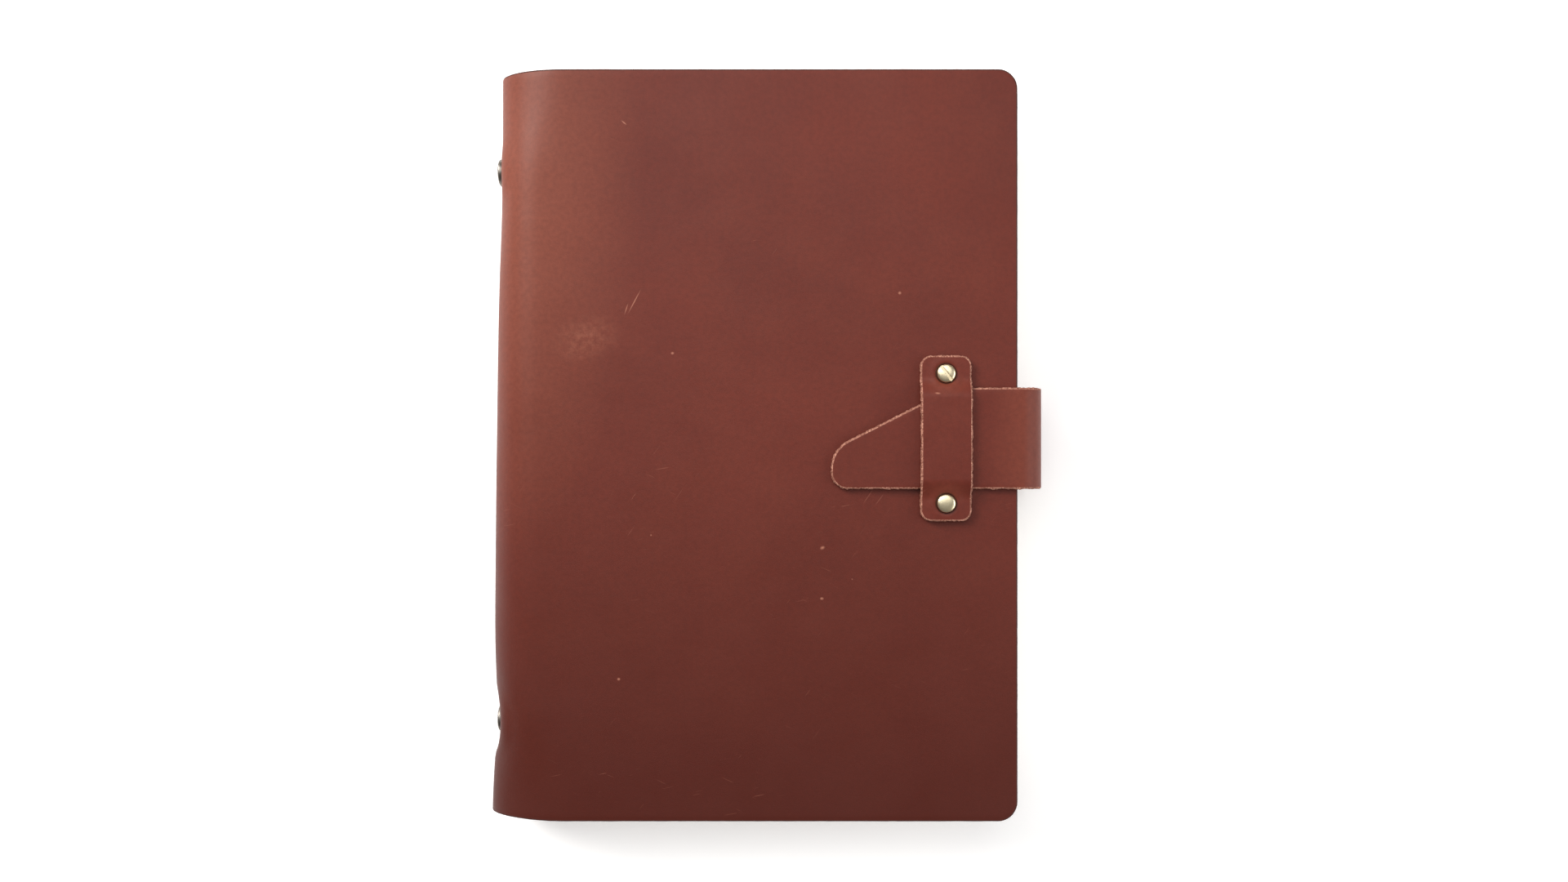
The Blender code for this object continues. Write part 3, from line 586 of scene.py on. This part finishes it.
def screw_head(name, radius, height, skirt, material, slot_angle=None):
    """A low domed head with a rolled rim, whose skirt reaches down into the leather."""
    dome = [(0, height), (radius * 0.30, height * 0.985)]
    dome += [(radius * 0.58, height * 0.935), (radius * 0.78, height * 0.86)]
    rim = [(radius * 0.90, height * 0.76), (radius * 0.965, height * 0.62), (radius * 0.995, height * 0.44)]
    profile = dome + rim + [(radius, height * 0.25), (radius, 0), (radius * 0.985, -skirt), (0, -skirt)]
    shape = lathe(profile)
    head = as_object(name, shape, material)
    if slot_angle is not None:
        slot = bmesh.new()
        size = Matrix.Diagonal((3 * radius, SLOT_WIDTH, height, 1))
        turn = Matrix.Rotation(slot_angle, 4, "Z")
        lift = Matrix.Translation((0, 0, height - SLOT_DEPTH + height / 2))
        bmesh.ops.create_cube(slot, size=1, matrix=lift @ turn @ size)
        cutter = as_object(name + "_slot", slot, material)
        boolean = head.modifiers.new("slot", "BOOLEAN")
        boolean.object = cutter
        boolean.operation = "DIFFERENCE"
        bpy.context.view_layer.update()
        cut_mesh = bpy.data.meshes.new_from_object(head.evaluated_get(bpy.context.evaluated_depsgraph_get()))
        head.modifiers.clear()
        head.data = cut_mesh
        bpy.data.objects.remove(cutter, do_unlink=True)
    bevel = head.modifiers.new("rim", "BEVEL")
    bevel.width = RIM_BEVEL
    bevel.segments = 2
    bevel.angle_limit = math.radians(40)
    weighted = head.modifiers.new("shading", "WEIGHTED_NORMAL")
    weighted.keep_sharp = False
    return head


def build_screws(brass, steel):
    outwards = Matrix.Rotation(-math.pi / 2, 4, "Y")
    inwards = Matrix.Rotation(math.pi / 2, 4, "Y")
    down = Matrix.Rotation(math.pi, 4, "X")
    top_y, bottom_y = KEEPER_SCREW_YS
    upright = Matrix.Identity(4)
    keeper, outer, inner = KEEPER_HEAD_RADIUS, KEEPER_HEAD_Z, KEEPER_INNER_Z
    rows = [
        ("keeper_screw_top", keeper, HEAD_HEIGHT, (KEEPER_X, top_y, outer), upright, SLOT_ANGLE, "front_cover"),
        ("keeper_post_bottom", keeper, HEAD_HEIGHT, (KEEPER_X, bottom_y, outer), upright, None, "front_cover"),
        ("keeper_post_top", keeper, FLANGE_HEIGHT, (KEEPER_X, top_y, inner), down, None, "front_cover"),
        ("keeper_screw_bottom", keeper, FLANGE_HEIGHT, (KEEPER_X, bottom_y, inner), down, 0.7, "front_cover"),
    ]
    for end, y, angle in (("top", SPINE_SCREW_Y, 0.5), ("bottom", -SPINE_SCREW_Y, 1.9)):
        radius = SPINE_HEAD_RADIUS
        rows.append((f"spine_screw_{end}", radius, HEAD_HEIGHT, (-GAP, y, MID), outwards, angle, "spine"))
        inside = (HOUSING_TOP + GAP, y, MID)
        rows.append((f"spine_post_{end}", radius, FLANGE_HEIGHT, inside, inwards, None, "spine"))
    for node, radius, height, place, turn, angle, body in rows:
        metal_name, material = ("brass", brass) if body == "front_cover" else ("nickel", steel)
        skirt = HEAD_SKIRT if node.startswith("keeper") and turn is upright else 2 * GAP
        head = screw_head(f"{metal_name}_{node}", radius, height, skirt, material, angle)
        head.matrix_world = Matrix.Translation(world(*place)) @ turn
        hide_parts(node)
        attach(head, body)


def build_rings(nickel):
    """Smooth half rings, each with a rounded joint tip, in place of the faceted ones."""
    foot_x = 0.0037 + GAP - RING_X
    sides = (("front", 1), ("back", -1))
    for side, sign in sides:
        for number, y in enumerate(RING_PLACES, 1):
            start = math.asin(GAP / 2 / RING_RADIUS)
            end = math.acos((foot_x - 0.0003) / RING_RADIUS)
            shape = bmesh.new()
            rings, steps = [], 40
            for i in range(steps + 1):
                a = start + (end - start) * i / steps
                tip = min(1.0, i / 2.5)
                radius = RING_WIRE_RADIUS * (0.72 + 0.28 * math.sqrt(1 - (1 - tip) ** 2))
                centre = Vector((math.cos(a), 0, sign * math.sin(a)))
                ring = []
                for k in range(20):
                    b = 2 * math.pi * k / 20
                    out = RING_RADIUS + radius * math.cos(b)
                    spot = centre * out + Vector((0, radius * math.sin(b), 0))
                    ring.append(shape.verts.new(spot))
                rings.append(ring)
            for near, far in zip(rings, rings[1:]):
                for k in range(20):
                    n = (k + 1) % 20
                    shape.faces.new((near[k], far[k], far[n], near[n]))
            shape.faces.new(rings[0])
            shape.faces.new(rings[-1])
            bmesh.ops.recalc_face_normals(shape, faces=shape.faces)
            node = f"ring_{side}_{number}"
            piece = as_object("nickel_" + node, shape, nickel)
            piece.data.set_sharp_from_angle(angle=math.radians(45))
            piece.location = world(RING_X, y, MID)
            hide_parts(node)
            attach(piece, f"{side}_rings")


# Materials


class Nodes:
    """Short ways to make shader nodes, with their inputs set or linked by name or number."""

    def __init__(self, name):
        self.material = bpy.data.materials.new(name)
        self.material.use_nodes = True
        self.tree = self.material.node_tree
        self.shader = self.tree.nodes["Principled BSDF"]

    def add(self, kind, out=0, props=None, **inputs):
        node = self.tree.nodes.new("ShaderNode" + kind)
        for key, value in (props or {}).items():
            setattr(node, key, value)
        for key, value in inputs.items():
            self.put(node, key, value)
        return node.outputs[out]

    def put(self, node, key, value):
        key = int(key[1:]) if key[0] == "_" and key[1:].isdigit() else key.replace("_", " ")
        socket = node.inputs[key]
        if isinstance(value, bpy.types.NodeSocket):
            self.tree.links.new(value, socket)
        else:
            socket.default_value = value

    def sheet(self):
        uv = self.tree.nodes.new("ShaderNodeUVMap")
        uv.uv_map = "sheet"
        return uv.outputs[0]

    def local(self):
        return self.add("TexCoord", out=3)

    def parts(self, vector):
        self.add("SeparateXYZ", Vector=vector)
        return self.tree.nodes[-1].outputs

    def scaled(self, vector, scale, shift=(0, 0, 0), turn=(0, 0, 0)):
        return self.add("Mapping", Vector=vector, Scale=scale, Location=shift, Rotation=turn)

    def noise(self, vector, size, detail=3.0, rough=0.5, out=0):
        """size is the distance that one blob covers, in metres."""
        return self.add("TexNoise", out=out, Vector=vector, Scale=1 / size, Detail=detail, Roughness=rough)

    def ramp(self, value, stops):
        node = self.tree.nodes.new("ShaderNodeValToRGB")
        self.tree.links.new(value, node.inputs[0])
        ramp = node.color_ramp
        while len(ramp.elements) < len(stops):
            ramp.elements.new(0.5)
        for element, (place, colour) in zip(ramp.elements, stops):
            element.position = place
            element.color = (colour, colour, colour, 1) if isinstance(colour, float) else (*colour, 1)
        return node.outputs[0]

    def mix(self, factor, a, b, blend="MIX"):
        node = self.tree.nodes.new("ShaderNodeMix")
        node.data_type = "RGBA"
        node.blend_type = blend
        for socket, value in ((node.inputs[0], factor), (node.inputs[6], a), (node.inputs[7], b)):
            if isinstance(value, bpy.types.NodeSocket):
                self.tree.links.new(value, socket)
            elif isinstance(value, tuple):
                socket.default_value = (*value, 1)
            else:
                socket.default_value = value
        return node.outputs[2]

    def math(self, operation, a, b=0.0, c=0.0, clamp=False):
        props = {"operation": operation, "use_clamp": clamp}
        return self.add("Math", props=props, _0=a, _1=b, _2=c)

    def bump(self, height, distance, strength=1.0, normal=None):
        extra = {"Normal": normal} if normal else {}
        return self.add("Bump", Height=height, Distance=distance, Strength=strength, **extra)

    def set(self, **inputs):
        for key, value in inputs.items():
            self.put(self.shader, key, value)
        return self.material


def spot(n, vector, centre, radius, turn=0.0):
    """1 at a centre in the sheet's (U, V), falling to 0 at its two radii, turned by an angle."""
    place = {"vector_type": "TEXTURE"}
    size, shift = (radius[0], radius[1], 1), (centre[0], centre[1], 0)
    moved = n.add("Mapping", props=place, Vector=vector, Location=shift, Rotation=(0, 0, turn), Scale=size)
    return n.add("TexGradient", out=1, props={"gradient_type": "SPHERICAL"}, Vector=moved)


def most(n, values):
    total = values[0]
    for value in values[1:]:
        total = n.math("MAXIMUM", total, value)
    return total


def grain_leather(name, keeper=False):
    """Oiled pull-up leather: it pales where it is rubbed, and where it is bent partly as a painted highlight.
    Painted shade darkens the cover towards the bottom, a painted highlight lightens its upper left by the
    spine, and painted shade with a dark stain line rings the keeper's screw heads.
    """
    n = Nodes(name)
    sheet = n.sheet()
    cloud = n.noise(sheet, 0.060, 4.0, 0.55)
    patch = n.noise(sheet, 0.022, 5.0, 0.6)
    fine = n.noise(sheet, 0.0016, 4.0, 0.65)
    base = n.mix(n.ramp(cloud, [(0.30, 0.0), (0.70, 1.0)]), (0.117, 0.0176, 0.0098), (0.147, 0.0234, 0.0130))
    base = n.mix(n.ramp(patch, [(0.42, 0.0), (0.75, 0.55)]), base, (0.160, 0.0286, 0.0156))
    across, up = n.parts(sheet)[:2]
    # The colour of the painted highlight at the upper left of the cover, by the spine
    pale = (0.300, 0.0830, 0.0450)
    if keeper:
        # Paler where the keeper bends over the strap's edges: partly the leather's pull-up paling, partly a
        # painted highlight on the bends
        bends = [(KEEPER_UV[0] + q, KEEPER_UV[1]) for q in (-0.0165, 0.0165)]
        pull = most(n, [spot(n, sheet, bend, (0.0042, 0.0085)) for bend in bends])
        base = n.mix(n.math("MULTIPLY", pull, 0.40), base, (0.250, 0.0650, 0.0360))
        # Painted shade in the gap round each screw head, together with a dark stain line there
        half = KEEPER_SCREW_SPACING / 2
        seats = [(KEEPER_UV[0] + q, KEEPER_UV[1]) for q in (-half, half)]
        rim = most(n, [spot(n, sheet, seat, (0.0042, 0.0042)) for seat in seats])
        base = n.mix(n.ramp(rim, [(0.17, 0.0), (0.28, 0.92)]), base, (0.020, 0.0050, 0.0030))
    else:
        # Painted shade: the cover's colour darkens towards the bottom, away from the light at the upper left
        height = n.add("MapRange", Value=up, From_Min=-0.112, From_Max=0.012, To_Min=0.0, To_Max=1.0)
        low = n.mix(0.80, base, (0.064, 0.0100, 0.0058))
        base = n.mix(height, low, base)
        # Painted highlight: a broad pale patch at the upper left of the cover by the spine, where the window's
        # light falls
        upper_left_highlight = spot(n, sheet, (0.008, 0.085), (0.046, 0.120))
        base = n.mix(n.math("MULTIPLY", upper_left_highlight, 0.60), base, pale)
        # Paler where the strap bends round the fore edge: partly the leather's pull-up paling, partly a painted
        # highlight on the bend
        low_u, high_u = -STRAP_CUT - 0.030, -STRAP_CUT + 0.030
        bend = n.add("MapRange", Value=across, From_Min=low_u, From_Max=high_u, To_Min=0.0, To_Max=1.0)
        bend = n.ramp(bend, [(0.05, 0.0), (0.25, 0.75), (0.75, 0.75), (0.95, 0.0)])
        base = n.mix(n.math("MULTIPLY", bend, 0.55), base, (0.260, 0.0640, 0.0360))
        rub = spot(n, sheet, (0.0360, 0.0325), (0.012, 0.008), 0.3)
        rub = n.math("MULTIPLY", rub, n.ramp(n.noise(sheet, 0.0022, 5.0, 0.75), [(0.40, 0.10), (0.62, 1.0)]))
        base = n.mix(n.math("MULTIPLY", rub, 0.42), base, (0.36, 0.120, 0.070))
    base = n.mix(n.ramp(fine, [(0.35, 0.22), (0.62, 0.0)]), base, (0.060, 0.0120, 0.0075))
    # Fine scratches in three directions, sparse pale specks, and the few larger marks of wear
    lines = []
    for turn, shift in ((0.95, 3.0), (-0.42, 11.0), (0.2, 21.0)):
        place = {"vector_type": "TEXTURE"}
        shape = {"Location": (shift, shift, 0), "Rotation": (0, 0, turn), "Scale": (0.0085, 0.00042, 1.0)}
        stretched = n.add("Mapping", props=place, Vector=sheet, **shape)
        line = n.add("TexNoise", Vector=stretched, Scale=1.0, Detail=1.0, Roughness=0.4)
        lines.append(n.ramp(line, [(0.745, 0.0), (0.800, 1.0)]))
    where = n.ramp(n.noise(sheet, 0.040, 2.0), [(0.53, 0.0), (0.66, 1.0)])
    scratch = n.math("MULTIPLY", most(n, lines), where)
    base = n.mix(n.math("MULTIPLY", scratch, 0.30), base, (0.34, 0.110, 0.066))
    cell = n.add("TexVoronoi", Vector=sheet, Scale=1 / 0.013, Randomness=1.0)
    speck = n.ramp(cell, [(0.012, 1.0), (0.026, 0.0)])
    rare = n.ramp(n.noise(sheet, 0.012, 1.0), [(0.52, 0.0), (0.58, 1.0)])
    speck = n.math("MULTIPLY", speck, rare)
    marks = KEEPER_MARKS if keeper else COVER_MARKS
    wear = [spot(n, sheet, place, size, turn) for place, size, turn in marks]
    speck = n.math("MAXIMUM", n.math("MULTIPLY", speck, 0.7), most(n, wear))
    base = n.mix(n.math("MULTIPLY", speck, 0.80), base, (0.48, 0.200, 0.130))
    # Pores, creases of the grain and the marks, in height
    pores = n.add("TexVoronoi", Vector=sheet, Scale=1 / 0.00055, Randomness=1.0)
    pores = n.ramp(pores, [(0.0, 0.0), (0.42, 1.0)])
    creases = n.noise(sheet, 0.0011, 5.0, 0.7)
    level = n.math("ADD", n.math("MULTIPLY", pores, 0.35), creases)
    level = n.math("SUBTRACT", level, n.math("MULTIPLY", scratch, 0.6))
    normal = n.bump(level, 0.00006, 0.55)
    waves = n.noise(sheet, 0.020, 3.0, 0.5)
    normal = n.bump(waves, 0.0006, 0.35, normal)
    gloss = n.ramp(n.noise(sheet, 0.030, 5.0, 0.6), [(0.3, 0.41), (0.7, 0.50)])
    gloss = n.math("ADD", gloss, n.math("MULTIPLY", creases, 0.06))
    n.shader.inputs["Specular IOR Level"].default_value = 0.26
    return n.set(Base_Color=base, Roughness=gloss, Normal=normal)


def flesh_leather(name):
    n = Nodes(name)
    sheet = n.sheet()
    nap = n.noise(sheet, 0.0009, 6.0, 0.75)
    cloud = n.noise(sheet, 0.030, 4.0, 0.6)
    base = n.mix(n.ramp(cloud, [(0.3, 0.0), (0.7, 1.0)]), (0.235, 0.098, 0.062), (0.315, 0.140, 0.090))
    base = n.mix(n.ramp(nap, [(0.35, 0.0), (0.65, 0.6)]), base, (0.42, 0.215, 0.145))
    fibres = n.noise(n.scaled(sheet, (1.0, 4.0, 1.0), (0, 0, 0), (0, 0, 0.6)), 0.0016, 4.0, 0.7)
    normal = n.bump(n.math("ADD", nap, fibres), 0.00022, 0.8)
    n.shader.inputs["Specular IOR Level"].default_value = 0.2
    n.shader.inputs["Sheen Weight"].default_value = 0.25
    n.shader.inputs["Sheen Roughness"].default_value = 0.5
    return n.set(Base_Color=base, Roughness=n.ramp(nap, [(0.3, 0.80), (0.7, 0.95)]), Normal=normal)


def edge_leather(name, pale):
    """A cut edge: raw and fibrous where pale, and stained dark on the cover."""
    n = Nodes(name)
    sheet = n.sheet()
    fibre = n.noise(sheet, 0.00045, 5.0, 0.7)
    clump = n.noise(sheet, 0.0018, 4.0, 0.6)
    if pale:
        base = n.mix(n.ramp(fibre, [(0.40, 0.0), (0.58, 1.0)]), (0.150, 0.048, 0.030), (0.62, 0.300, 0.215))
        base = n.mix(n.ramp(clump, [(0.36, 0.70), (0.60, 0.0)]), base, (0.200, 0.062, 0.040))
    else:
        dark = n.ramp(fibre, [(0.4, 0.0), (0.7, 0.6)])
        base = n.mix(dark, (0.060, 0.0190, 0.0150), (0.130, 0.0420, 0.0300))
    normal = n.bump(n.math("ADD", fibre, clump), 0.00018, 0.9)
    n.shader.inputs["Specular IOR Level"].default_value = 0.25
    return n.set(Base_Color=base, Roughness=n.ramp(fibre, [(0.3, 0.72), (0.7, 0.92)]), Normal=normal)


def metal(name, light, dark, rough):
    n = Nodes(name)
    spot = n.local()
    wear = n.noise(spot, 0.0035, 5.0, 0.65)
    hair = n.noise(n.scaled(spot, (1.0, 9.0, 9.0)), 0.0011, 5.0, 0.7)
    base = n.mix(n.ramp(wear, [(0.35, 0.0), (0.7, 1.0)]), light, dark)
    gloss = n.ramp(wear, [(0.3, rough), (0.75, rough + 0.09)])
    gloss = n.math("ADD", gloss, n.math("MULTIPLY", hair, 0.03))
    n.shader.inputs["Metallic"].default_value = 1.0
    return n.set(Base_Color=base, Roughness=gloss, Normal=n.bump(hair, 0.00001, 0.3))


def paper(name="paper_stack"):
    n = Nodes(name)
    spot = n.local()
    leaves = n.scaled(spot, (6.0, 6.0, 9000.0))
    leaf = n.add("TexNoise", Vector=leaves, Scale=1.0, Detail=2.0, Roughness=0.6)
    tone = n.noise(spot, 0.030, 4.0, 0.6)
    base = n.mix(n.ramp(tone, [(0.3, 0.0), (0.7, 1.0)]), (0.80, 0.735, 0.61), (0.87, 0.815, 0.70))
    across = n.add("NewGeometry", out=1)
    flat = n.math("ABSOLUTE", n.parts(across)[2])
    side = n.ramp(flat, [(0.5, 1.0), (0.9, 0.0)])
    dark = n.math("MULTIPLY", n.ramp(leaf, [(0.38, 1.0), (0.58, 0.0)]), side)
    base = n.mix(n.math("MULTIPLY", dark, 0.42), base, (0.42, 0.35, 0.25))
    fibre = n.noise(spot, 0.0006, 5.0, 0.7)
    level = n.math("ADD", n.math("MULTIPLY", leaf, side), n.math("MULTIPLY", fibre, 0.12))
    n.shader.inputs["Specular IOR Level"].default_value = 0.25
    gloss = n.ramp(fibre, [(0.3, 0.82), (0.7, 0.93)])
    return n.set(Base_Color=base, Roughness=gloss, Normal=n.bump(level, 0.00012, 0.8))


def dress(nodes, material):
    for name in nodes:
        obj = frame["nodes"][name]
        obj.data.materials.clear()
        obj.data.materials.append(material)


# Camera, lights and floor


def build_stage():
    camera_data = bpy.data.cameras.new("camera")
    camera_data.sensor_width = 36.0
    camera_data.lens = 28.2
    camera_data.clip_start, camera_data.clip_end = 0.01, 20.0
    camera = bpy.data.objects.new("camera", camera_data)
    camera.location = world(0.0886, 0.0013, COVER_THICKNESS + 0.375)
    bpy.context.scene.collection.objects.link(camera)
    bpy.context.scene.camera = camera

    shape = bmesh.new()
    bmesh.ops.create_grid(shape, x_segments=1, y_segments=1, size=3.0)
    n = Nodes("floor_white")
    tone = n.noise(n.local(), 0.8, 2.0)
    colour = n.ramp(tone, [(0.3, (0.97, 0.97, 0.97)), (0.7, (0.99, 0.99, 0.99))])
    n.shader.inputs["Emission Color"].default_value = (1, 1, 1, 1)
    n.shader.inputs["Emission Strength"].default_value = 0.22
    floor = as_object("floor", shape, n.set(Base_Color=colour, Roughness=0.9))
    floor.location = (0, 0, -0.0003)

    scene_world = bpy.data.worlds.new("studio")
    scene_world.use_nodes = True
    back = scene_world.node_tree.nodes["Background"]
    back.inputs[0].default_value = (1.0, 0.985, 0.97, 1)
    # A dimmer sky in reflections keeps the leather's highlights from turning milky
    tree = scene_world.node_tree
    reflected = tree.nodes.new("ShaderNodeLightPath").outputs["Is Glossy Ray"]
    dimmed = tree.nodes.new("ShaderNodeMapRange")
    dimmed.inputs["To Min"].default_value, dimmed.inputs["To Max"].default_value = 0.36, 0.16
    tree.links.new(reflected, dimmed.inputs["Value"])
    tree.links.new(dimmed.outputs["Result"], back.inputs[1])
    bpy.context.scene.world = scene_world
    bpy.context.scene.view_settings.view_transform = "Standard"

    lamps = (
        ("window", (-0.80, 0.62, 0.72), 0.6, 14.5, (1.0, 0.97, 0.93)),
        ("top", (-0.05, 0.60, 1.40), 1.1, 8.0, (1.0, 0.99, 0.98)),
        ("fill", (0.95, -0.15, 0.55), 0.8, 5.0, (0.97, 0.98, 1.0)),
    )
    for name, place, size, power, colour in lamps:
        data = bpy.data.lights.new(name, "AREA")
        data.size, data.energy, data.color = size, power, colour
        lamp = bpy.data.objects.new(name, data)
        lamp.location = place
        lamp.rotation_mode = "QUATERNION"
        lamp.rotation_quaternion = (-Vector(place)).to_track_quat("-Z", "Y")
        bpy.context.scene.collection.objects.link(lamp)


build_stage()
brass = metal("brass_screws", (1.00, 0.89, 0.62), (0.88, 0.73, 0.45), 0.25)
nickel = metal("nickel_plate", (0.74, 0.73, 0.70), (0.60, 0.59, 0.57), 0.16)
build_leather(
    grain_leather("leather_grain"),
    grain_leather("leather_grain_keeper", keeper=True),
    flesh_leather("leather_flesh"),
    edge_leather("leather_edge_dark", False),
    edge_leather("leather_edge_raw", True),
)
# Painted shade: the spine screws' nickel is made much darker than the rings' nickel, for the shade they sit in
# facing away from the light
build_screws(brass, metal("shade_darkened_nickel", (0.34, 0.31, 0.28), (0.20, 0.175, 0.15), 0.34))
build_rings(nickel)
dress(("ring_housing", "ring_blade_front", "ring_blade_back", "ring_lever_top", "ring_lever_bottom"), nickel)
dress(("lever_pin_top", "lever_pin_bottom"), nickel)
dress(("paper_front", "paper_back"), paper())
